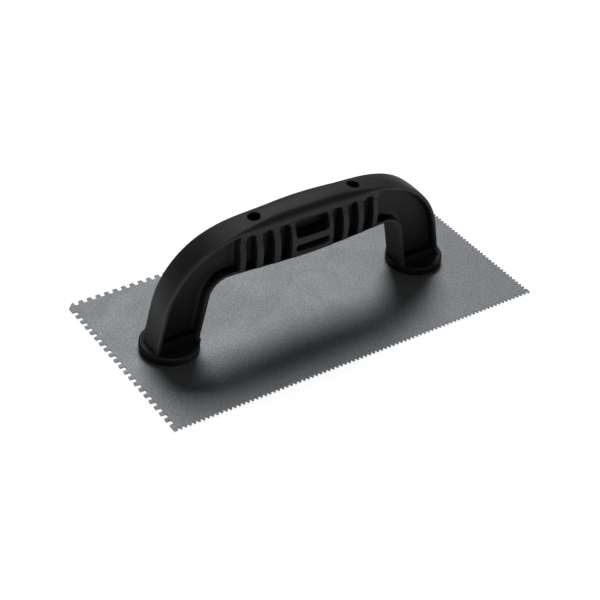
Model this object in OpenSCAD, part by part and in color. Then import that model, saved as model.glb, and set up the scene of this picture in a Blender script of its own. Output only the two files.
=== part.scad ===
// Notched trowel: a thin steel blade toothed on all four edges, with a
// one-piece moulded bridge handle held by four countersunk screws.
//
// Frame: millimetres. The origin is the centre of the blade's underside.
// +X runs along the blade towards the fine-toothed short edge,
// +Y towards the coarse-toothed long edge, +Z up through the grip.

/* [Blade] */
// Length of the blade, along the handle
blade_l = 209.55; // [180:0.05:260]
// Width of the blade, across the handle
blade_w = 104.775; // [80:0.005:130]
// Thickness of the sheet
blade_t = 0.8; // [0.5:0.1:1.2]
// Cut-off at the corner between the two coarse edges
corner_cut = 3.2; // [1:0.1:3.6]
// Radius at the other three corners
corner_r = 1; // [0.4:0.1:1.4]

/* [Teeth] */
// Number of coarse tooth pitches across the width of the blade
coarse_count = 22; // [14:1:26]
// Depth of the coarse notches
coarse_depth = 2.4; // [1:0.1:3.2]
// Number of fine tooth pitches across the width of the blade
fine_count = 44; // [30:1:52]
// Depth of the fine notches
fine_depth = 1.2; // [0.6:0.1:1.6]

/* [Handle] */
// Distance of the handle's middle from the blade's middle, towards the coarse short edge
handle_offset = 4; // [0:0.5:10]
// Distance between the centres of the two feet
foot_spacing = 146; // [140:1:150]
// Diameter of each round foot
foot_d = 29.4; // [28:0.2:32]
// Thickness of each foot, without its rounded top edge
foot_h = 4.3; // [3.5:0.1:5]
// Height of the top of the grip above the blade's underside
grip_top = 63; // [61:0.5:66]
// Height of the underside of the grip above the blade's underside
grip_bottom = 36.4; // [34:0.2:38]
// Width of the legs and of the band at its ends
band_w = 14; // [12:0.5:15]
// Width of the top band at the middle of the grip
band_mid_w = 15.8; // [15.2:0.2:17]
// Width of the grip at its fullest point
grip_w = 20.2; // [18:0.2:21]
// Thickness of the rims around the hollows in the legs
rim_t = 2.2; // [1.6:0.1:3]
// Thickness of the web between the hollows
web_t = 4; // [3:0.5:5]

/* [Grip pattern] */
// Width of each upright slot
slot_w = 6; // [5:0.1:6.6]
// Distance between neighbouring upright slots
slot_pitch = 9.4; // [9:0.1:9.6]
// Distance from the grip's middle to the first upright slot
slot_first = 15; // [14.6:0.1:15.2]
// Height of the rounded top ends of the upright slots
slot_top = 56.4; // [54:0.2:57]
// Depth of the slots, measured in from the fullest part of the grip
slot_depth = 7; // [2:0.2:7.6]
// Thickness of the lip that closes the upright slots at the underside
slot_lip = 1.2; // [0.8:0.1:2]
// Length of the two level slots in the middle
level_slot_l = 19; // [16:0.5:19.5]
// Diameter of the two holes in the top band
top_hole_d = 6; // [4:0.5:6.5]
// Depth of the two holes in the top band
top_hole_depth = 10; // [4:0.5:14]
// Distance between the two holes in the top band
top_hole_spacing = 57.2; // [52:0.2:62]

/* [Screws] */
// Diameter of the shank
screw_d = 3.9; // [3:0.1:4.2]
// Diameter of the countersunk head
screw_head_d = 7.2; // [6.6:0.1:7.6]
// Overall length
screw_l = 9; // [7:0.5:9.5]
// Distance between the two screws in one foot
screw_spacing = 12; // [11:0.5:13]
// Gap around the shank and the head
screw_clear = 0.05; // [0.02:0.01:0.1]

/* [View] */
// Node to draw

/* [Hidden] */
$fn = 96;
steel = [0.6, 0.61, 0.63];
black = [0.06, 0.06, 0.065];
zinc = [0.72, 0.73, 0.75];
eps = 0.01;

coarse_pitch = blade_w / coarse_count;
coarse_along = round(blade_l / coarse_pitch);
coarse_pitch_l = blade_l / coarse_along;
fine_pitch = blade_w / fine_count;
fine_along = round(blade_l / fine_pitch);
fine_pitch_l = blade_l / fine_along;

foot_x = foot_spacing / 2;
foot_top = blade_t + foot_h;
foot_edge_r = 0.9;

// The outer side of the handle is three tangent arcs and a straight leg.
lean = 12;
crown_r = 254;
crown_a = 7.7;
haunch_r = 117;
haunch_a = 15;
shoulder_r = 43.5;
shoulder_a = 90 - lean;
// The inner side of the handle: a level underside, a corner arc and a straight leg.
inner_r = 10.5;
leg_t = 23.8;

boss_top = foot_top + 3.7;
boss_w = 11;
hollow_start = slot_first + 2 * slot_pitch + slot_w / 2 + 3;
upper_slot = [47.8, 55.6];
lower_slot = [40.2, 43.8];
slot_floor = grip_w / 2 - slot_depth;

screw_x = [foot_x - screw_spacing / 2, foot_x + screw_spacing / 2];
head_h = (screw_head_d - screw_d) / 2;
head_sink = 0.05;
cross_l = 4.2;
cross_w = 0.9;
cross_depth = 1.3;

// ---------- blade ----------

// Corners of the notches first..last along one edge, walking from "start" in direction "along".
// Notch k has its middle k + 0.5 pitches from the start, and k need not be a whole number.
function notches(start, along, inward, pitch, mouth, root, depth, first, last) = [
  for (k = [first:last], q = [[-mouth, 0], [-root, depth], [root, depth], [mouth, 0]])
    start + along * ((k + 0.5) * pitch + q[0] / 2) + inward * q[1]
];

module blade_outline() {
  hl = blade_l / 2;
  hw = blade_w / 2;
  near_left = [-hl, -hw];
  near_right = [hl, -hw];
  far_right = [hl, hw];
  far_left = [-hl, hw];
  polygon(concat(
    [near_left],
    notches(near_left, [1, 0], [0, 1], fine_pitch_l, 0.64 * fine_pitch_l, 0.36 * fine_pitch_l,
      fine_depth, 0.6, fine_along - 1),
    [near_right],
    notches(near_right, [0, 1], [-1, 0], fine_pitch, 0.64 * fine_pitch, 0.36 * fine_pitch,
      fine_depth, 1.1, fine_count - 1.5),
    [far_right],
    notches(far_right, [-1, 0], [0, -1], coarse_pitch_l, 0.52 * coarse_pitch_l,
      0.46 * coarse_pitch_l, coarse_depth, 1.4, coarse_along - 1.5),
    [far_left + [corner_cut, 0]],
    [far_left + [0, -corner_cut]],
    notches(far_left, [0, -1], [1, 0], coarse_pitch, 0.52 * coarse_pitch, 0.46 * coarse_pitch,
      coarse_depth, 1.25, coarse_count - 1.5)
  ));
}

// What is taken off a square corner to round it.
module corner_waste(sx, sy, r) {
  translate([sx * blade_l / 2, sy * blade_w / 2])
    difference() {
      square(2 * r, center = true);
      translate([-sx * r, -sy * r])
        circle(r);
    }
}

module blade() {
  color(steel)
    difference() {
      linear_extrude(blade_t)
        difference() {
          blade_outline();
          corner_waste(-1, -1, corner_r);
          corner_waste(1, 1, corner_r);
        }
      for (s = [-1, 1], x = screw_x)
        translate([s * x - handle_offset, 0, 0])
          countersink(0);
    }
}

// The conical seat of a screw head and the hole beyond it, opened by the clearance.
module countersink(up) {
  r = screw_head_d / 2 + screw_clear;
  translate([0, 0, -eps])
    cylinder(h = eps + head_sink, r = r);
  translate([0, 0, head_sink - eps])
    cylinder(h = head_h + eps, r1 = r + eps, r2 = screw_d / 2 + screw_clear);
  translate([0, 0, head_sink + head_h - eps])
    cylinder(h = blade_t + up, r = screw_d / 2 + screw_clear);
}

// ---------- handle ----------

// A slice of a disc between two directions, counted from straight up.
module slice(c, r, a0, a1) {
  am = (a0 + a1) / 2;
  intersection() {
    translate(c)
      circle(r, $fn = 360);
    polygon([
      c,
      c + 1.5 * r * [sin(a0), cos(a0)],
      c + 1.5 * r * [sin(am), cos(am)],
      c + 1.5 * r * [sin(a1), cos(a1)]
    ]);
  }
}

// The outer side outline, seen along Y, moved in by t.
module outer_outline(t, base) {
  c1 = [0, grip_top - crown_r];
  c2 = c1 + (crown_r - haunch_r) * [sin(crown_a), cos(crown_a)];
  c3 = c2 + (haunch_r - shoulder_r) * [sin(haunch_a), cos(haunch_a)];
  leg = c3 + (shoulder_r - t) * [sin(shoulder_a), cos(shoulder_a)];
  foot = [leg[0] + (leg[1] - base) * tan(lean), base];
  // the slices overlap one another and the plain core, without leaving the outline
  core = grip_top - 12;
  lap = 4;
  intersection() {
    translate([-100, base])
      square([200, 100]);
    for (m = [0, 1])
      mirror([m, 0])
        union() {
          slice(c1, crown_r - t, -1, crown_a);
          slice(c2, haunch_r - t, crown_a - lap, haunch_a);
          slice(c3, shoulder_r - t, haunch_a - lap, shoulder_a + lap);
          polygon([[-1, base - 1], foot + [tan(lean), -1], leg, c3 + [16, 16], [20, core], [-1, core]]);
        }
  }
}

// The finger opening, seen along Y, grown by t.
module inner_outline(t, base) {
  c1 = [0, grip_top - crown_r];
  c2 = c1 + (crown_r - haunch_r) * [sin(crown_a), cos(crown_a)];
  c3 = c2 + (haunch_r - shoulder_r) * [sin(haunch_a), cos(haunch_a)];
  // a point on the inner face of the leg, and the corner arc's centre
  face = c3 + (shoulder_r - leg_t * cos(lean)) * [sin(shoulder_a), cos(shoulder_a)];
  cz = grip_bottom - inner_r;
  cx = face[0] + (face[1] - cz) * tan(lean) - inner_r / cos(lean);
  r = inner_r + t;
  top = [cx + r * cos(lean), cz + r * sin(lean)];
  foot = [top[0] + (top[1] - base) * tan(lean), base];
  intersection() {
    translate([-100, base])
      square([200, 100]);
    for (m = [0, 1])
      mirror([m, 0])
        union() {
          slice([cx, cz], r, 0, shoulder_a + 4);
          polygon([[-1, base - 1], foot + [tan(lean), -1], top, [cx + 2, cz + 2], [cx, cz + r], [-1, cz + r]]);
        }
  }
}

// Seen from above: a strip that swells from "ends" to "middle" wide over the grip.
module swollen_strip(ends, middle, half_l) {
  steps = 14;
  swell = (middle - ends) / 4;
  edge = [
    for (k = [0:steps])
      let (u = 2 * k / steps - 1)
      [u * half_l, ends / 2 + swell * (1 + cos(180 * u))]
  ];
  polygon(concat(
    [[-95, ends / 2]],
    edge,
    [[95, ends / 2], [95, -ends / 2]],
    [for (k = [steps:-1:0]) [edge[k][0], -edge[k][1]]],
    [[-95, -ends / 2]]
  ));
}

// Seen along X: the top band, rounded along both upper edges.
module band_section() {
  r = 4.2;
  // a little wider than the strip, so that only the upper edges are shaped
  hw = band_mid_w / 2 + 0.2;
  translate([-hw, 0])
    square([2 * hw, grip_top - r]);
  translate([r - hw, 0])
    square([2 * (hw - r), grip_top + 1]);
  for (s = [-1, 1])
    translate([s * (hw - r), grip_top - r])
      circle(r);
}

// Seen along X: the fuller sides of the grip, fullest a little below the middle.
module grip_section() {
  r = 28;
  z = 42.5;
  hw = grip_w / 2 + 0.1;
  intersection() {
    translate([hw - r, z])
      circle(r, $fn = 360);
    translate([r - hw, z])
      circle(r, $fn = 360);
    translate([-grip_w, 20])
      square([2 * grip_w, 38]);
  }
}

module side_profile(width) {
  rotate([90, 0, 0])
    difference() {
      linear_extrude(width, center = true)
        outer_outline(0, foot_top - 1);
      linear_extrude(width + 2, center = true)
        inner_outline(0, foot_top - 3);
    }
}

module foot(x) {
  translate([x, 0, blade_t])
    rotate_extrude() {
      square([foot_d / 2, foot_h - foot_edge_r]);
      square([foot_d / 2 - foot_edge_r, foot_h]);
      translate([foot_d / 2 - foot_edge_r, foot_h - foot_edge_r])
        circle(foot_edge_r, $fn = 48);
    }
}

// The hollow on one side of one leg, from the screw block to the first rib of the grip.
module leg_hollow() {
  intersection() {
    translate([0, web_t / 2, 0])
      rotate([90, 0, 180])
        mirror([1, 0, 0])
          difference() {
            linear_extrude(grip_w)
              outer_outline(rim_t, foot_top);
            translate([0, 0, -1])
              linear_extrude(grip_w + 2)
                inner_outline(rim_t, foot_top - 2);
          }
    translate([hollow_start, 0, 0])
      cube(100);
  }
}

// The solid block above the foot that the screws bite into.
module screw_block(x) {
  translate([x - 16, -boss_w / 2, foot_top - 1])
    cube([32, boss_w, boss_top - foot_top + 1]);
}

module upright_slot(x) {
  r = slot_w / 2;
  translate([x, slot_floor, 0])
    rotate([90, 0, 180])
      linear_extrude(grip_w) {
        translate([-r, grip_bottom + slot_lip])
          square([slot_w, slot_top - r - grip_bottom - slot_lip]);
        translate([0, slot_top - r])
          circle(r);
      }
}

module level_slot(span, r) {
  hl = level_slot_l / 2;
  translate([0, slot_floor, 0])
    rotate([90, 0, 180])
      linear_extrude(grip_w) {
        translate([-hl, span[0] + r])
          square([2 * hl, span[1] - span[0] - 2 * r]);
        translate([r - hl, span[0]])
          square([2 * (hl - r), span[1] - span[0]]);
        for (sx = [r - hl, hl - r], sz = [span[0] + r, span[1] - r])
          translate([sx, sz])
            circle(r, $fn = 48);
      }
}

module handle() {
  color(black)
    translate([-handle_offset, 0, 0])
      difference() {
        union() {
          intersection() {
            side_profile(40);
            linear_extrude(100)
              swollen_strip(band_w, band_mid_w, 50);
            translate([-100, 0, 0])
              rotate([90, 0, 90])
                linear_extrude(200)
                  band_section();
          }
          intersection() {
            side_profile(40);
            translate([0, 0, 20])
              linear_extrude(60)
                swollen_strip(band_w, grip_w, 50);
            translate([-50, 0, 0])
              rotate([90, 0, 90])
                linear_extrude(100)
                  grip_section();
          }
          foot(-foot_x);
          foot(foot_x);
        }
        for (m = [0, 1], n = [0, 1])
          mirror([m, 0, 0])
            mirror([0, n, 0]) {
              difference() {
                leg_hollow();
                screw_block(foot_x);
              }
              for (k = [0:2])
                upright_slot(slot_first + k * slot_pitch);
            }
        for (n = [0, 1])
          mirror([0, n, 0]) {
            level_slot(upper_slot, 1.6);
            level_slot(lower_slot, 1.5);
          }
        for (s = [-1, 1]) {
          translate([s * top_hole_spacing / 2, 0, grip_top - top_hole_depth - 1.6])
            cylinder(h = top_hole_depth + 5, r = top_hole_d / 2);
          for (x = screw_x)
            translate([s * x, 0, 0]) {
              countersink(screw_l - head_h);
            }
        }
      }
}

// ---------- screws ----------

// A countersunk self-tapping screw, head down, with a cross recess.
module screw(x) {
  tip = 1.6;
  color(zinc)
    translate([x - handle_offset, 0, head_sink])
      difference() {
        union() {
          cylinder(h = head_h, r1 = screw_head_d / 2, r2 = screw_d / 2);
          cylinder(h = screw_l - tip, r = screw_d / 2);
          translate([0, 0, screw_l - tip])
            cylinder(h = tip, r1 = screw_d / 2, r2 = 0.7);
        }
        for (a = [0, 90])
          rotate(a)
            translate([-cross_l / 2, -cross_w / 2, -1])
              cube([cross_l, cross_w, cross_depth + 1]);
      }
}

module screw_left_outer() {
  screw(-screw_x[1]);
}

module screw_left_inner() {
  screw(-screw_x[0]);
}

module screw_right_inner() {
  screw(screw_x[0]);
}

module screw_right_outer() {
  screw(screw_x[1]);
}

blade();
handle();
screw_left_outer();
screw_left_inner();
screw_right_inner();
screw_right_outer();
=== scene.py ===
"""Notched trowel: a thin steel blade toothed on all four edges under a black moulded bridge handle.

Metres, in the CAD's frame: the origin is the centre of the blade's underside, +X runs along the
blade towards the fine-toothed short edge, +Y towards the coarse-toothed long edge, +Z up.
The shapes below are worked out in millimetres and scaled once, as the meshes are made.
"""

import math

import bmesh
import bpy
import numpy as np
from mathutils import Matrix, Vector


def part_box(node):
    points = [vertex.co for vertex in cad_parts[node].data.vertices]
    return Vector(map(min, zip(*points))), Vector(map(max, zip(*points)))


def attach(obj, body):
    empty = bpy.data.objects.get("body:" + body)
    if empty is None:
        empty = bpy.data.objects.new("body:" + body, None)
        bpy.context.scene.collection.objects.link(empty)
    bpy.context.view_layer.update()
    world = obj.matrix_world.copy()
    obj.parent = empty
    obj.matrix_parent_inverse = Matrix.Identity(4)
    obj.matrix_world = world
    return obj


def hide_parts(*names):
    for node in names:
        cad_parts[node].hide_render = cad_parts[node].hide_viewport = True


MM = 0.001

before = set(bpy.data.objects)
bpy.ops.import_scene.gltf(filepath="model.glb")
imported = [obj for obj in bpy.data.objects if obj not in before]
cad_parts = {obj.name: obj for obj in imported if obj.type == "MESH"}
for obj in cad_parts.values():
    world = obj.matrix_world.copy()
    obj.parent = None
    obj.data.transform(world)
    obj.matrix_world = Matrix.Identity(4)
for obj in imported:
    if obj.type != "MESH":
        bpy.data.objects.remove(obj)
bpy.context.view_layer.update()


def node_box(name):
    """A CAD node's lowest and highest corners, in millimetres."""
    low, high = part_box(name)
    return Vector(low) / MM, Vector(high) / MM


# ---------- sizes, in millimetres ----------

blade_low, blade_high = node_box("blade")
handle_low, handle_high = node_box("handle")

BLADE_L = blade_high.x - blade_low.x
BLADE_W = blade_high.y - blade_low.y
BLADE_T = blade_high.z - blade_low.z

HANDLE_X = (handle_low.x + handle_high.x) / 2
FOOT_R = (handle_high.y - handle_low.y) / 2
FOOT_X = (handle_high.x - handle_low.x) / 2 - FOOT_R
FOOT_H = 4.3
FOOT_TOP = BLADE_T + FOOT_H
GRIP_TOP = handle_high.z
GRIP_BOTTOM = 36.4

# The outer side of the handle is three tangent arcs and a straight leaning leg.
LEAN = math.radians(12)
CROWN_R, CROWN_A = 254.0, math.radians(7.7)
HAUNCH_R, HAUNCH_A = 117.0, math.radians(15)
SHOULDER_R, SHOULDER_A = 43.5, math.pi / 2 - LEAN
INNER_R = 10.5
LEG_T = 23.8

BAND_W, BAND_MID_W, GRIP_W = 14.0, 15.8, 20.2
SWELL_HALF_L, GRIP_HALF_L = 50.0, 62.0
GRIP_SIDE_R, GRIP_FULLEST_Z = 28.0, 42.5
RIM_T, WEB_T = 2.2, 4.0
BLOCK_TOP, BLOCK_W = FOOT_TOP + 3.7, 11.0

SLOT_W, SLOT_PITCH, SLOT_FIRST, SLOT_TOP = 6.0, 9.4, 15.0, 56.4
SLOT_DEPTH = 7
SLOT_FLOOR = GRIP_W / 2 - SLOT_DEPTH
SLOT_LIP = 1.2
SLOTS = [SLOT_FIRST + k * SLOT_PITCH for k in range(3)]
HOLLOW_START = SLOTS[-1] + SLOT_W / 2 + 3
LEVEL_L = 19.0
LEVEL_SLOTS = [((47.8, 55.6), 1.6), ((40.2, 43.8), 1.5)]
HOLE_R, HOLE_X, HOLE_DEPTH = 3.0, 28.6, 10.0

SCREW_X = [FOOT_X - 6, FOOT_X + 6]
SCREW_R, SCREW_HEAD_R, SCREW_L, SCREW_SINK = 1.95, 3.6, 9.0, 0.05
SCREW_GAP = 0.05


# ---------- small tools ----------

def new_object(name, bm, material):
    """A mesh object from a bmesh in millimetres."""
    mesh = bpy.data.meshes.new(name)
    bmesh.ops.recalc_face_normals(bm, faces=bm.faces)
    bm.to_mesh(mesh)
    bm.free()
    mesh.transform(Matrix.Scale(MM, 4))
    mesh.materials.append(material)
    obj = bpy.data.objects.new(name, mesh)
    bpy.context.scene.collection.objects.link(obj)
    return obj


def smooth(obj, degrees=38):
    for polygon in obj.data.polygons:
        polygon.use_smooth = True
    obj.data.set_sharp_from_angle(angle=math.radians(degrees))


def join_loops(bm, loops, closed=True):
    """Faces between neighbouring rings of vertices."""
    for a, b in zip(loops, loops[1:]):
        n = len(a)
        for i in range(n if closed else n - 1):
            j = (i + 1) % n
            bm.faces.new((a[i], a[j], b[j], b[i]))


def lathe(bm, profile, centre, steps=96):
    """A solid of revolution about a vertical line, from (radius, height) pairs, capped at both ends."""
    rings = []
    for r, z in profile:
        rings.append([
            bm.verts.new((centre[0] + r * math.cos(a), centre[1] + r * math.sin(a), z))
            for a in (2 * math.pi * k / steps for k in range(steps))
        ])
    join_loops(bm, rings)
    bm.faces.new(rings[0][::-1])
    bm.faces.new(rings[-1])


def apply_boolean(obj, cutter, operation):
    m = obj.modifiers.new("cut", "BOOLEAN")
    m.operation, m.solver, m.object = operation, "EXACT", cutter
    graph = bpy.context.evaluated_depsgraph_get()
    mesh = bpy.data.meshes.new_from_object(obj.evaluated_get(graph))
    obj.modifiers.remove(m)
    old = obj.data
    obj.data = mesh
    bpy.data.meshes.remove(old)
    bpy.data.objects.remove(cutter)


def step(x, low, high):
    """0 below low, 1 above high, with a smooth rise between."""
    t = np.clip((x - low) / (high - low), 0, 1)
    return t * t * (3 - 2 * t)


def soft_min(a, b, k):
    h = np.clip(0.5 + 0.5 * (b - a) / k, 0, 1)
    return b + (a - b) * h - k * h * (1 - h)


def soft_max(a, b, k):
    return -soft_min(-a, -b, k)


# ---------- the handle's side outlines ----------

def direction(angle):
    """The unit vector that leans by an angle from straight up."""
    return np.array([math.sin(angle), math.cos(angle)])


C1 = np.array([0.0, GRIP_TOP - CROWN_R])
C2 = C1 + (CROWN_R - HAUNCH_R) * direction(CROWN_A)
C3 = C2 + (HAUNCH_R - SHOULDER_R) * direction(HAUNCH_A)
LEG_NORMAL = direction(SHOULDER_A)
OUTER_LEG = C3 + SHOULDER_R * LEG_NORMAL
_face = C3 + (SHOULDER_R - LEG_T * math.cos(LEAN)) * LEG_NORMAL
_cz = GRIP_BOTTOM - INNER_R
CORNER = np.array([_face[0] + (_face[1] - _cz) * math.tan(LEAN) - INNER_R / math.cos(LEAN), _cz])
INNER_LEG = CORNER + INNER_R * LEG_NORMAL


def outer_z(x):
    """Height of the outer outline over the grip."""
    if x <= C1[0] + CROWN_R * math.sin(CROWN_A):
        return C1[1] + math.sqrt(CROWN_R ** 2 - (x - C1[0]) ** 2)
    if x <= C2[0] + HAUNCH_R * math.sin(HAUNCH_A):
        return C2[1] + math.sqrt(HAUNCH_R ** 2 - (x - C2[0]) ** 2)
    return C3[1] + math.sqrt(SHOULDER_R ** 2 - (x - C3[0]) ** 2)


def outer_point(angle):
    if angle <= CROWN_A:
        return C1 + CROWN_R * direction(angle)
    if angle <= HAUNCH_A:
        return C2 + HAUNCH_R * direction(angle)
    return C3 + SHOULDER_R * direction(angle)


def outer_angle(x):
    """The outline's lean from level at x, over the grip."""
    if x <= C1[0] + CROWN_R * math.sin(CROWN_A):
        return math.asin(x / CROWN_R)
    if x <= C2[0] + HAUNCH_R * math.sin(HAUNCH_A):
        return math.asin((x - C2[0]) / HAUNCH_R)
    return math.asin((x - C3[0]) / SHOULDER_R)


def depth_from_outer(x, z):
    """How far a point of the side view lies inside the outer outline. x is counted from the middle."""
    def angle(c):
        return np.arctan2(x - c[0], z - c[1])

    def inside(c, r):
        return r - np.hypot(x - c[0], z - c[1])

    leg = (OUTER_LEG[0] - x) * LEG_NORMAL[0] + (OUTER_LEG[1] - z) * LEG_NORMAL[1]
    return np.where(
        angle(C1) < CROWN_A, inside(C1, CROWN_R),
        np.where(
            angle(C2) < HAUNCH_A, inside(C2, HAUNCH_R),
            np.where(angle(C3) < SHOULDER_A, inside(C3, SHOULDER_R), leg),
        ),
    )


def depth_from_inner(x, z):
    """How far a point of the side view lies outside the finger opening."""
    angle = np.arctan2(x - CORNER[0], z - CORNER[1])
    arc = np.hypot(x - CORNER[0], z - CORNER[1]) - INNER_R
    leg = (x - INNER_LEG[0]) * LEG_NORMAL[0] + (z - INNER_LEG[1]) * LEG_NORMAL[1]
    return np.where(x < CORNER[0], z - GRIP_BOTTOM, np.where(angle < SHOULDER_A, arc, leg))


def swollen(x, ends, middle, half_length=SWELL_HALF_L):
    """Half the width of a strip that swells towards the middle of the grip."""
    u = np.clip(np.abs(x) / half_length, 0, 1)
    return ends / 2 + (middle - ends) / 4 * (1 + np.cos(math.pi * u))


# ---------- the handle's surface ----------

EDGE_R = 0.9
CROWN_EDGE_R = 4.2
# how far from the middle the upper edges go from soft to crisp
CROWN_EDGE_SPAN = (16, 47)
# depth below the outer outline at which the top band gives way to the grip's side, and by how much
BAND_END = (5.6, 7.2)
BAND_STEP = 0.7
# the ribs fade out beyond the last slot, into a side that stands this far inside the band
RIB_FADE_L, RIB_FADE_DEPTH = 7, 1
# distance past an edge over which a wall falls to its floor
SLOT_WALL, HOLLOW_WALL, BLOCK_WALL = (-0.12, 0.4), (-0.15, 0.5), (-0.35, 0.25)
# the web thickens a little towards the rims, as a moulding does
WEB_SWELL, WEB_SWELL_SPAN = 0.5, (0.3, 2.2)
# how far the slots' closing lip stands back from the ribs, and up to what height over the underside
LIP_SETBACK, LIP_ZONE = 0.15, 3
# sag of the band at its edges, and how far in from the rounded edge the sag begins
BAND_SAG, BAND_SAG_L = 0.28, 3
# extra samples on both sides of an edge in the side view, so that the mesh shows it sharply
EDGE_SAMPLES = [-0.5, -0.3, -0.1, 0.1, 0.3]
STATION_PITCH, STATION_GAP = 0.62, 0.13
CORNER_STATIONS = 60
# the last sections of a leg are closer together, where the foot's fillet is
LEG_PITCH, LEG_END_L, LEG_END_PITCH = 0.9, 5.2, 0.17
LEG_OVERLAP = 0.4
SIDE_SAMPLES = [0.0, 0.35, 0.7, 0.95, 1.15, 1.35, 1.55, 1.8, 2.1]
SIDE_STEPS, FLAT_STEPS = 46, 9
FLARE_R = 0.7


def edge_radius(x):
    """Radius of the handle's upper edges: soft over the grip, crisp towards the legs."""
    return EDGE_R + (CROWN_EDGE_R - EDGE_R) * (1 - step(np.abs(x), *CROWN_EDGE_SPAN))


def plain_half_width(x, z):
    """Half the handle's width at a point of the side view, before slots and hollows."""
    band = swollen(x, BAND_W, BAND_MID_W)
    # the ribs start a little under the top band and swell out below it
    over_grip = 1 - step(x, HOLLOW_START - 1, HOLLOW_START + 3)
    under = BAND_STEP * step(depth_from_outer(x, z), *BAND_END) * over_grip
    bulge = GRIP_SIDE_R - np.sqrt(GRIP_SIDE_R ** 2 - np.clip(z - GRIP_FULLEST_Z, -20, 20) ** 2)
    ribs = swollen(x, BAND_W, GRIP_W, GRIP_HALF_L) - bulge
    fade = 1 - step(x, HOLLOW_START, HOLLOW_START + RIB_FADE_L)
    ribs = BAND_W / 2 - RIB_FADE_DEPTH + (ribs - BAND_W / 2 + RIB_FADE_DEPTH) * fade
    return soft_max(band - under, ribs, 0.5)


def sunk_to(floor, y, amount):
    """The half width y brought down to a floor, in full where amount is 1."""
    return y + (np.minimum(floor, y) - y) * amount


def carved(x, z, y):
    """The half width y after the slots and hollows are taken out. x is counted from the middle."""
    outer, inner = depth_from_outer(x, z), depth_from_inner(x, z)
    # the long hollow of each leg, down to the screw block and the foot
    edge = soft_min(soft_min(outer, inner, 1.5) - RIM_T, x - HOLLOW_START, 1.2)
    block = step(z, BLOCK_TOP + BLOCK_WALL[0], BLOCK_TOP + BLOCK_WALL[1])
    floor = BLOCK_W / 2 + (WEB_T / 2 - BLOCK_W / 2) * block
    floor = floor + WEB_SWELL * (1 - step(edge, *WEB_SWELL_SPAN)) * block
    y = sunk_to(floor, y, step(edge, *HOLLOW_WALL))
    middle = SLOT_TOP - SLOT_W / 2
    for centre in SLOTS:
        reach = np.where(z < middle, np.abs(x - centre), np.hypot(x - centre, z - middle))
        lip = step(SLOT_W / 2 - reach, *SLOT_WALL) * LIP_SETBACK
        y = y - lip * (z < GRIP_BOTTOM + LIP_ZONE)
        inside = np.minimum(SLOT_W / 2 - reach, z - GRIP_BOTTOM - SLOT_LIP)
        y = sunk_to(SLOT_FLOOR, y, step(inside, *SLOT_WALL))
    for (low, high), r in LEVEL_SLOTS:
        dx = np.abs(x) - (LEVEL_L / 2 - r)
        dz = np.abs(z - (low + high) / 2) - ((high - low) / 2 - r)
        out = np.hypot(np.maximum(dx, 0), np.maximum(dz, 0)) + np.minimum(np.maximum(dx, dz), 0) - r
        y = sunk_to(SLOT_FLOOR, y, step(-out, *SLOT_WALL))
    return y


def merged(values, gap):
    """Sorted values with any closer than gap dropped."""
    out = []
    for v in sorted(values):
        if not out or v - out[-1] > gap:
            out.append(v)
    return out


def spread(start, end, pitch):
    """Even values from start to end, about a pitch apart."""
    n = max(1, round((end - start) / pitch))
    return [start + (end - start) * k / n for k in range(n + 1)]


def stations():
    """(inner point, outer point) of each cross-section from the grip's middle down to the right foot."""
    xs = spread(0, CORNER[0], STATION_PITCH)
    for centre in SLOTS:
        xs += [centre - SLOT_W / 2 - d for d in EDGE_SAMPLES]
        xs += [centre + SLOT_W / 2 + d for d in EDGE_SAMPLES]
    xs += [HOLLOW_START - d for d in EDGE_SAMPLES]
    xs += [LEVEL_L / 2 + d for d in EDGE_SAMPLES]
    xs = merged([x for x in xs if x < CORNER[0]], STATION_GAP)
    rows = [((x, GRIP_BOTTOM), (x, outer_z(x))) for x in xs]
    # round the corner
    start = outer_angle(CORNER[0])
    for k in range(CORNER_STATIONS):
        f = k / CORNER_STATIONS
        inner = CORNER + INNER_R * direction(f * SHOULDER_A)
        rows.append((inner, outer_point(start + f * (SHOULDER_A - start))))
    # down the leg, ending level
    low = FOOT_TOP - LEG_OVERLAP
    reach = INNER_LEG[1] - low
    close = 1 - LEG_END_L / reach
    fs = spread(0, close, LEG_PITCH / reach) + spread(close, 1, LEG_END_PITCH / reach)[1:]
    for f in fs:
        rows.append(tuple(
            np.array([p[0] + f * (p[1] - low) * math.tan(LEAN), p[1] - f * (p[1] - low)])
            for p in (INNER_LEG, OUTER_LEG)
        ))
    return rows


def foot_flare(z):
    """Small fillet where a leg meets its foot."""
    r = FLARE_R
    h = np.clip(z - FOOT_TOP, 0, r)
    return r - np.sqrt(r * r - (r - h) ** 2)


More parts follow.
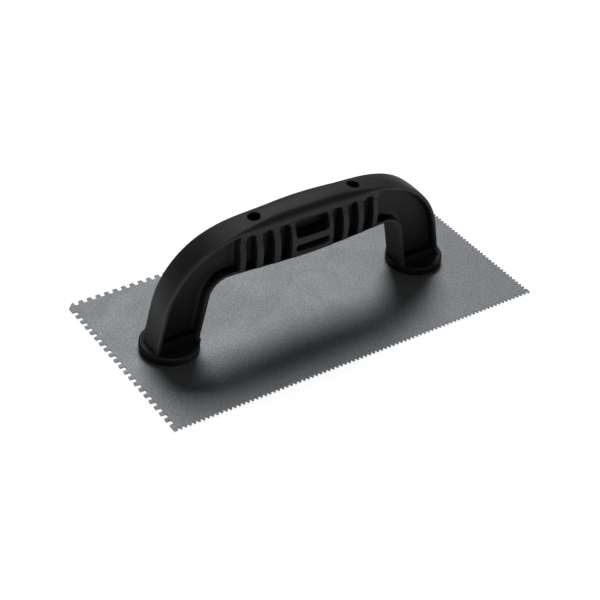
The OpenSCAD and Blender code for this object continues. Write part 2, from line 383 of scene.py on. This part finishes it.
def section(inner, outer):
    """One closed ring round the handle, in the plane through both points and along Y.

    Each point is (x, y, z, depth of the recess it lies in).
    """
    inner, outer = np.array(inner, float), np.array(outer, float)
    width = np.linalg.norm(outer - inner)
    along = (outer - inner) / width
    middle = (inner + outer) / 2
    top_r = float(edge_radius(outer[0]))
    low_r = EDGE_R
    # distances across the section where the side is sampled
    near, rim = SIDE_SAMPLES, SIDE_SAMPLES[-1]
    centre = np.linspace(0, 1, SIDE_STEPS)[1:-1]
    share = np.linspace(0, 1, FLAT_STEPS)[:-1]
    a, b = low_r, width - top_r
    between = list(a + rim + (b - a - 2 * rim) * centre)
    side = np.array([a + d for d in near] + between + [b - d for d in near[::-1]])
    arc = np.linspace(0, math.pi / 2, FLAT_STEPS)
    t = np.concatenate([low_r - low_r * np.cos(arc[:-1]), side, b + top_r * np.sin(arc[1:])])
    drop = np.concatenate([low_r - low_r * np.sin(arc[:-1]), 0 * side, top_r - top_r * np.cos(arc[1:])])
    x = inner[0] + along[0] * t
    z = inner[1] + along[1] * t
    plain = plain_half_width(x, z) - drop
    y = carved(x, z, plain)
    sunk = np.concatenate([0 * share, plain - y, 0 * share])
    # flat stretches under the grip and along the band, which is very slightly crowned
    back = np.linspace(1, 0, FLAT_STEPS)[1:]
    top_sag = BAND_SAG * (1 - back ** 2)
    sagged = t - BAND_SAG * step(t, width - top_r - BAND_SAG_L, width)
    t = np.concatenate([0 * share, sagged, width - BAND_SAG + top_sag])
    y = np.concatenate([share * y[0], y, back * y[-1]])
    x = inner[0] + along[0] * t
    z = inner[1] + along[1] * t
    flare = foot_flare(z)
    x = x + flare * np.sign(x - middle[0]) * np.clip(np.abs(x - middle[0]) / (width / 2), 0, 1)
    y = y + flare * np.clip(y, 0, 1)
    half = list(zip(x, y, z, sunk))
    return half + [(x, -y, z, deep) for x, y, z, deep in half[-2:0:-1]]


# where a painted highlight runs along the rims: beyond this far from the middle, this close to an edge
HIGHLIGHT_SPAN, HIGHLIGHT_IN, HIGHLIGHT_ACROSS = (20, 36), 0.8, 1.1
# how deep a point must lie for the painted shade in the recesses to start, and to be full
RECESS_SHADE_SPAN = (0.3, 2.0)


def rim_painted_highlight(x, y, z):
    """0 to 1 along the crisp edges of the band and the rims, where a painted highlight is drawn lighter.
    """
    outer, inner = float(depth_from_outer(x, z)), float(depth_from_inner(x, z))
    crisp = float(step(np.abs(x), *HIGHLIGHT_SPAN))
    side = float(plain_half_width(np.float64(x), np.float64(z))) - abs(y)
    across = math.exp(-(side / HIGHLIGHT_ACROSS) ** 2)
    near_top = math.exp(-(max(outer, 0) / HIGHLIGHT_IN) ** 2) * across
    near_low = math.exp(-(max(inner, 0) / HIGHLIGHT_IN) ** 2) * across
    return crisp * min(1, near_top + 0.5 * near_low)


def add_arch(bm):
    """The bridge of the handle, from one foot over the grip to the other."""
    # a vertex layer for the painted highlight along the crisp rims
    painted_highlight = bm.verts.layers.float.new("painted_highlight")
    # a vertex layer for painted shade in the recesses, deeper points darker
    recess = bm.verts.layers.float.new("recess")
    right = [section(i, o) for i, o in stations()]
    rings = []
    for mirror, sections in ((-1, right[:0:-1]), (1, right)):
        for ring in sections:
            verts = []
            for x, y, z, deep in ring:
                vert = bm.verts.new((mirror * x + HANDLE_X, y, z))
                vert[painted_highlight] = rim_painted_highlight(x, y, z)
                vert[recess] = float(step(deep, *RECESS_SHADE_SPAN))
                verts.append(vert)
            rings.append(verts)
    join_loops(bm, rings)
    bm.faces.new(rings[0][::-1])
    bm.faces.new(rings[-1])


FOOT_EDGE_R, FOOT_CHAMFER = 0.9, 0.35
HOLE_EDGE_R, HOLE_EDGE_H, HOLE_TAPER = 0.45, 0.75, 0.15


def foot_profile():
    """The round foot: a small chamfer below, straight, then a rounded top edge."""
    r, e, c = FOOT_R, FOOT_EDGE_R, FOOT_CHAMFER
    base = [(r - c, BLADE_T), (r, BLADE_T + c)]
    quarter = np.linspace(0, math.pi / 2, 8)
    return base + [(r - e + e * math.cos(a), FOOT_TOP - e + e * math.sin(a)) for a in quarter]


def hole_profile():
    """A blind hole in the top band, slightly tapered, with a rounded mouth."""
    top, e = outer_z(HOLE_X), HOLE_EDGE_R
    flare = [
        (HOLE_R + e * (1 - math.cos(a)), top - HOLE_EDGE_H + e * math.sin(a))
        for a in np.linspace(0, math.pi / 2, 6)
    ]
    return [(HOLE_R - HOLE_TAPER, top - HOLE_DEPTH)] + flare + [(HOLE_R + 0.5, top + 3)]


def bore_profile():
    """The hole for a screw, with a gap all round: the end of the countersink, then the shank."""
    low = BLADE_T - 0.3
    return [
        (SCREW_HEAD_R + SCREW_GAP - (low - SCREW_SINK), low),
        (SCREW_R + SCREW_GAP, SCREW_SINK + SCREW_HEAD_R - SCREW_R),
        (SCREW_R + SCREW_GAP, SCREW_SINK + SCREW_L + SCREW_GAP),
    ]


def build_handle(material):
    bm = bmesh.new()
    add_arch(bm)
    handle = new_object("handle_moulding", bm, material)
    for side in (-1, 1):
        bm = bmesh.new()
        lathe(bm, foot_profile(), (HANDLE_X + side * FOOT_X, 0))
        apply_boolean(handle, new_object("foot_disc", bm, material), "UNION")
        bm = bmesh.new()
        lathe(bm, hole_profile(), (HANDLE_X + side * HOLE_X, 0), 64)
        apply_boolean(handle, new_object("hole_cutter", bm, material), "DIFFERENCE")
        for x in SCREW_X:
            bm = bmesh.new()
            lathe(bm, bore_profile(), (HANDLE_X + side * x, 0), 48)
            apply_boolean(handle, new_object("bore_cutter", bm, material), "DIFFERENCE")
    smooth(handle, 50)
    return handle


# ---------- the blade ----------

CORNER_R = 1.0
TOOTH_EDGE_R, SHEET_EDGE = 0.22, 0.09
CORNER_CUT = 3.2
SEAT_FLARE = 0.12


def notched_edge(start, along, inward, pitch, first, last, mouth, root, depth):
    """Corner points of the notches along one edge."""
    points = []
    for k in range(math.floor(last - first) + 1):
        middle = (first + k + 0.5) * pitch
        for across, deep in ((-mouth, 0), (-root, depth), (root, depth), (mouth, 0)):
            points.append((
                start[0] + along[0] * (middle + across / 2) + inward[0] * deep,
                start[1] + along[1] * (middle + across / 2) + inward[1] * deep,
            ))
    return points


def blade_outline():
    hl, hw = BLADE_L / 2, BLADE_W / 2
    coarse, fine = BLADE_W / 22, BLADE_W / 44
    cut = CORNER_CUT
    wide = (0.52 * coarse, 0.46 * coarse, 2.4)
    narrow = (0.64 * fine, 0.36 * fine, 1.2)
    return (
        [(-hl, -hw)]
        + notched_edge((-hl, -hw), (1, 0), (0, 1), fine, 0.6, 87, *narrow)
        + [(hl, -hw)]
        + notched_edge((hl, -hw), (0, 1), (-1, 0), fine, 1.1, 42.5, *narrow)
        + [(hl, hw)]
        + notched_edge((hl, hw), (-1, 0), (0, -1), coarse, 1.4, 42.5, *wide)
        + [(cut - hl, hw), (-hl, hw - cut)]
        + notched_edge((-hl, hw), (0, -1), (1, 0), coarse, 1.25, 20.5, *wide)
    )


def rounded(points, radius, steps=3):
    """The closed outline with each corner turned into a small arc."""
    out = []
    n = len(points)
    for i in range(n):
        a, p, b = (Vector(points[k % n]) for k in (i - 1, i, i + 1))
        u, v = (a - p), (b - p)
        is_corner = p.x * p.y > 0 and abs(p.x) + abs(p.y) > BLADE_L / 2 + BLADE_W / 2 - 0.01
        r = min(CORNER_R if is_corner else radius, 0.4 * u.length, 0.4 * v.length)
        start, end = p + u.normalized() * r, p + v.normalized() * r
        for k in range(steps + 1):
            t = k / steps
            out.append(start * (1 - t) ** 2 + p * 2 * t * (1 - t) + end * t * t)
    return out


def inset(points, distance):
    out = []
    n = len(points)
    for i in range(n):
        a, p, b = points[i - 1], points[i], points[(i + 1) % n]
        u, v = (p - a).normalized(), (b - p).normalized()
        normal = Vector((-u.y - v.y, u.x + v.x))
        normal.normalize()
        out.append(p + normal * distance)
    return out


def build_blade(material):
    bm = bmesh.new()
    outline = rounded(blade_outline(), TOOTH_EDGE_R)
    bevel = SHEET_EDGE
    layers = [(bevel, 0), (0, bevel), (0, BLADE_T - bevel), (bevel, BLADE_T)]
    rings = []
    for distance, z in layers:
        ring = inset(outline, distance) if distance else outline
        rings.append([bm.verts.new((p.x, p.y, z)) for p in ring])
    join_loops(bm, rings)
    bottom, top = [rings[0]], [rings[-1]]
    turn = np.linspace(0, 2 * math.pi, 65)[:-1]
    for side in (-1, 1):
        for x in SCREW_X:
            centre = HANDLE_X + side * x
            rim = SCREW_HEAD_R + SCREW_GAP
            seat = [
                (SCREW_HEAD_R + SEAT_FLARE, 0), (rim, SCREW_SINK), (rim - BLADE_T + SCREW_SINK, BLADE_T),
            ]
            holes = [
                [bm.verts.new((centre + r * math.cos(a), r * math.sin(a), z)) for a in turn]
                for r, z in seat
            ]
            join_loops(bm, holes)
            bottom.append(holes[0])
            top.append(holes[-1])
    for face_rings in (bottom, top):
        edges = []
        for ring in face_rings:
            for i, v in enumerate(ring):
                edges.append(bm.edges.get((v, ring[(i + 1) % len(ring)])))
        bmesh.ops.triangle_fill(bm, use_beauty=True, use_dissolve=False, edges=edges)
    blade = new_object("blade_sheet", bm, material)
    smooth(blade, 30)
    return blade


# ---------- the screws ----------

def build_screw(name, x, material):
    """A countersunk self-tapping screw, head down, with a cross recess and a formed thread."""
    bm = bmesh.new()
    r, head, sink = SCREW_R, SCREW_HEAD_R, SCREW_SINK
    cone = head - r
    tip, pitch, thread = 1.6, 1.25, 0.25
    core = r - thread
    profile = [(head, sink), (r, sink + cone)]
    z = sink + cone + 0.4
    while z < SCREW_L - tip:
        profile += [
            (core, z), (core, z + pitch * 0.3), (core + thread, z + pitch * 0.5), (core, z + pitch * 0.7),
        ]
        z += pitch
    profile += [(r - 0.3, SCREW_L - tip + sink), (0.7, SCREW_L - 0.3 + sink), (0.35, SCREW_L + sink)]
    lathe(bm, profile, (x, 0), 48)
    screw = new_object(name, bm, material)
    bm = bmesh.new()
    # a cross in plan, wide at the head and narrower inside
    ring_low, ring_high = [], []
    for ring, arm, half, z in ((ring_low, 2.15, 0.52, -0.3), (ring_high, 1.25, 0.36, 1.5)):
        for quarter in range(4):
            a = quarter * math.pi / 2
            for u, v in ((arm, -half), (arm, half), (half, half)):
                ring.append(bm.verts.new((
                    x + u * math.cos(a) - v * math.sin(a), u * math.sin(a) + v * math.cos(a), z,
                )))
    join_loops(bm, [ring_low, ring_high])
    bm.faces.new(ring_low[::-1])
    bm.faces.new(ring_high)
    apply_boolean(screw, new_object("recess_cutter", bm, material), "DIFFERENCE")
    smooth(screw, 30)
    return screw


# ---------- materials ----------

def material(name):
    m = bpy.data.materials.new(name)
    m.use_nodes = True
    nodes, links = m.node_tree.nodes, m.node_tree.links
    return m, nodes, links, nodes["Principled BSDF"]


def noise_node(nodes, links, coords, scale, detail, rough=0.6, distortion=0.0):
    n = nodes.new("ShaderNodeTexNoise")
    n.inputs["Scale"].default_value = scale
    n.inputs["Detail"].default_value = detail
    n.inputs["Roughness"].default_value = rough
    n.inputs["Distortion"].default_value = distortion
    links.new(coords, n.inputs["Vector"])
    return n.outputs["Fac"]


def ramp_node(nodes, links, fac, stops):
    r = nodes.new("ShaderNodeValToRGB")
    r.color_ramp.elements[0].position, r.color_ramp.elements[0].color = stops[0][0], (*stops[0][1], 1)
    r.color_ramp.elements[1].position, r.color_ramp.elements[1].color = stops[-1][0], (*stops[-1][1], 1)
    for position, colour in stops[1:-1]:
        r.color_ramp.elements.new(position).color = (*colour, 1)
    links.new(fac, r.inputs["Fac"])
    return r.outputs["Color"]


def range_node(nodes, links, value, low, high, to_low, to_high):
    r = nodes.new("ShaderNodeMapRange")
    for name, v in (("From Min", low), ("From Max", high), ("To Min", to_low), ("To Max", to_high)):
        r.inputs[name].default_value = v
    links.new(value, r.inputs["Value"])
    return r.outputs["Result"]


# the colour sockets of a mix node
MIX_FACTOR, MIX_A, MIX_B, MIX_RESULT = 0, 6, 7, 2


def mix_node(nodes, links, factor, first, second):
    """The first colour goes over to the second, a constant, as the factor rises."""
    n = nodes.new("ShaderNodeMix")
    n.data_type = "RGBA"
    n.inputs[MIX_B].default_value = (*second, 1)
    links.new(factor, n.inputs[MIX_FACTOR])
    links.new(first, n.inputs[MIX_A])
    return n.outputs[MIX_RESULT]


def bump_node(nodes, links, height, strength, distance, normal=None):
    b = nodes.new("ShaderNodeBump")
    b.inputs["Strength"].default_value = strength
    b.inputs["Distance"].default_value = distance
    links.new(height, b.inputs["Height"])
    if normal is not None:
        links.new(normal, b.inputs["Normal"])
    return b.outputs["Normal"]


def object_coords(nodes, links, scale=(1, 1, 1), rotation=(0, 0, 0)):
    c = nodes.new("ShaderNodeTexCoord")
    m = nodes.new("ShaderNodeMapping")
    m.inputs["Scale"].default_value = scale
    m.inputs["Rotation"].default_value = rotation
    links.new(c.outputs["Object"], m.inputs["Vector"])
    return m.outputs["Vector"]


def plastic():
    m, nodes, links, shader = material("black_moulded_plastic")
    coords = object_coords(nodes, links)
    cloud = noise_node(nodes, links, coords, 60, 3)
    grain = noise_node(nodes, links, coords, 1500, 3, 0.7)
    colour = ramp_node(nodes, links, cloud, [
        (0.3, (0.018, 0.0188, 0.0200)), (0.7, (0.028, 0.0292, 0.0310)),
    ])
    links.new(range_node(nodes, links, grain, 0.3, 0.7, 0.46, 0.60), shader.inputs["Roughness"])
    links.new(bump_node(nodes, links, grain, 0.25, 0.0002), shader.inputs["Normal"])
    # painted shade darkens the recesses and a painted highlight lightens the rims, away from the
    # moulding's own colour
    for attribute, target in (
        ("recess", (0.006, 0.006, 0.0063)), ("painted_highlight", (0.075, 0.079, 0.083)),
    ):
        where = nodes.new("ShaderNodeAttribute")
        where.attribute_name = attribute
        colour = mix_node(nodes, links, where.outputs["Fac"], colour, target)
    links.new(colour, shader.inputs["Base Color"])
    shader.inputs["Specular IOR Level"].default_value = 0.25
    return m


def sheet_steel():
    m, nodes, links, shader = material("cold_rolled_sheet_steel")
    coords = object_coords(nodes, links)
    brushed = object_coords(nodes, links, scale=(40, 900, 900))
    blotch = noise_node(nodes, links, coords, 32, 6, 0.7, 0.8)
    streak = noise_node(nodes, links, brushed, 1.0, 3, 0.6)
    speck = noise_node(nodes, links, coords, 1100, 2)
    colour = ramp_node(nodes, links, blotch, [
        (0.28, (0.270, 0.305, 0.329)), (0.42, (0.340, 0.364, 0.383)),
        (0.58, (0.373, 0.386, 0.405)), (0.72, (0.410, 0.427, 0.432)),
    ])
    fine = ramp_node(nodes, links, speck, [(0.3, (0.66, 0.66, 0.66)), (0.7, (1.2, 1.2, 1.2))])
    grainy = nodes.new("ShaderNodeMix")
    grainy.data_type, grainy.blend_type = "RGBA", "MULTIPLY"
    grainy.inputs[MIX_FACTOR].default_value = 1.0
    links.new(colour, grainy.inputs[MIX_A])
    links.new(fine, grainy.inputs[MIX_B])
    links.new(grainy.outputs[MIX_RESULT], shader.inputs["Base Color"])
    shader.inputs["Metallic"].default_value = 0.6
    links.new(range_node(nodes, links, blotch, 0.3, 0.7, 0.52, 0.64), shader.inputs["Roughness"])
    normal = bump_node(nodes, links, streak, 0.04, 0.00005)
    links.new(bump_node(nodes, links, speck, 0.1, 0.0001, normal), shader.inputs["Normal"])
    return m


def zinc():
    m, nodes, links, shader = material("zinc_plating")
    coords = object_coords(nodes, links)
    cloud = noise_node(nodes, links, coords, 700, 4)
    colour = ramp_node(nodes, links, cloud, [(0.3, (0.55, 0.56, 0.58)), (0.7, (0.70, 0.70, 0.70))])
    links.new(colour, shader.inputs["Base Color"])
    shader.inputs["Metallic"].default_value = 1.0
    links.new(range_node(nodes, links, cloud, 0.3, 0.7, 0.25, 0.45), shader.inputs["Roughness"])
    links.new(bump_node(nodes, links, cloud, 0.1, 0.0001), shader.inputs["Normal"])
    return m


def floor_material():
    m, nodes, links, shader = material("pale_floor")
    coords = object_coords(nodes, links)
    cloud = noise_node(nodes, links, coords, 3, 2)
    colour = ramp_node(nodes, links, cloud, [(0.3, (0.93, 0.93, 0.93)), (0.7, (0.95, 0.95, 0.95))])
    links.new(colour, shader.inputs["Base Color"])
    shader.inputs["Roughness"].default_value = 0.9
    # a glow of its own keeps the floor white where the handle's shadow runs off the blade
    shader.inputs["Emission Color"].default_value = (1, 1, 1, 1)
    shader.inputs["Emission Strength"].default_value = 0.8
    return m


# ---------- the object ----------

PLASTIC, STEEL, ZINC = plastic(), sheet_steel(), zinc()

handle = build_handle(PLASTIC)
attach(handle, "root")
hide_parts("handle")

blade = build_blade(STEEL)
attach(blade, "root")
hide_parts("blade")

for node in ("screw_left_outer", "screw_left_inner", "screw_right_inner", "screw_right_outer"):
    low, high = node_box(node)
    screw = build_screw(node + "_detailed", (low.x + high.x) / 2, ZINC)
    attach(screw, "root")
    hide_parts(node)


# ---------- floor, light and camera ----------

def plane(name, half, z, mat):
    mesh = bpy.data.meshes.new(name)
    corners = [(-half, -half, z), (half, -half, z), (half, half, z), (-half, half, z)]
    mesh.from_pydata(corners, [], [(0, 1, 2, 3)])
    mesh.materials.append(mat)
    obj = bpy.data.objects.new(name, mesh)
    bpy.context.scene.collection.objects.link(obj)
    return obj


FLOOR_HALF, FLOOR_Z = 6.0, -0.0003
WORLD_STRENGTH = 0.06
KEY_FROM, KEY_DISTANCE, KEY_SIZE, KEY_POWER = (0.45, 0.76, 0.97), 3.0, 1.2, 31
FILL_FROM, FILL_DISTANCE, FILL_SIZE, FILL_POWER = (-0.5, -1.0, 0.16), 2.0, 0.6, 1.5

floor = plane("floor", FLOOR_HALF, FLOOR_Z, floor_material())

world = bpy.data.worlds.new("soft_white")
world.use_nodes = True
world.node_tree.nodes["Background"].inputs["Color"].default_value = (1, 1, 1, 1)
world.node_tree.nodes["Background"].inputs["Strength"].default_value = WORLD_STRENGTH
bpy.context.scene.world = world


def area_light(name, towards, distance, size, power):
    """A square soft light that looks at the object from the direction given."""
    data = bpy.data.lights.new(name, "AREA")
    data.shape, data.size, data.energy = "SQUARE", size, power
    obj = bpy.data.objects.new(name, data)
    place = Vector(towards).normalized() * distance
    obj.location = place
    obj.rotation_euler = place.to_track_quat("Z", "Y").to_euler()
    bpy.context.scene.collection.objects.link(obj)
    return obj


area_light("key", KEY_FROM, KEY_DISTANCE, KEY_SIZE, KEY_POWER)
area_light("fill", FILL_FROM, FILL_DISTANCE, FILL_SIZE, FILL_POWER)

CAMERA_AZIMUTH = math.radians(-36.83)
CAMERA_ELEVATION = math.radians(37.57)
CAMERA_ROLL = math.radians(4.64)
CAMERA_TARGET = Vector((-23.5, -29.0, 28.2)) * MM
CAMERA_DISTANCE = 735.0 * MM
CAMERA_SENSOR, CAMERA_LENS = 36, 93.9

away = Vector((
    math.sin(CAMERA_AZIMUTH) * math.cos(CAMERA_ELEVATION),
    -math.cos(CAMERA_AZIMUTH) * math.cos(CAMERA_ELEVATION),
    math.sin(CAMERA_ELEVATION),
))
camera_data = bpy.data.cameras.new("camera")
camera_data.sensor_width = CAMERA_SENSOR
camera_data.lens = CAMERA_LENS
camera_data.clip_start = 0.01
camera_data.clip_end = 50
camera = bpy.data.objects.new("camera", camera_data)
camera.matrix_world = (
    Matrix.Translation(CAMERA_TARGET + away * CAMERA_DISTANCE)
    @ away.to_track_quat("Z", "Y").to_matrix().to_4x4()
    @ Matrix.Rotation(CAMERA_ROLL, 4, "Z")
)
bpy.context.scene.collection.objects.link(camera)
bpy.context.scene.camera = camera
bpy.context.scene.view_settings.view_transform = "Standard"
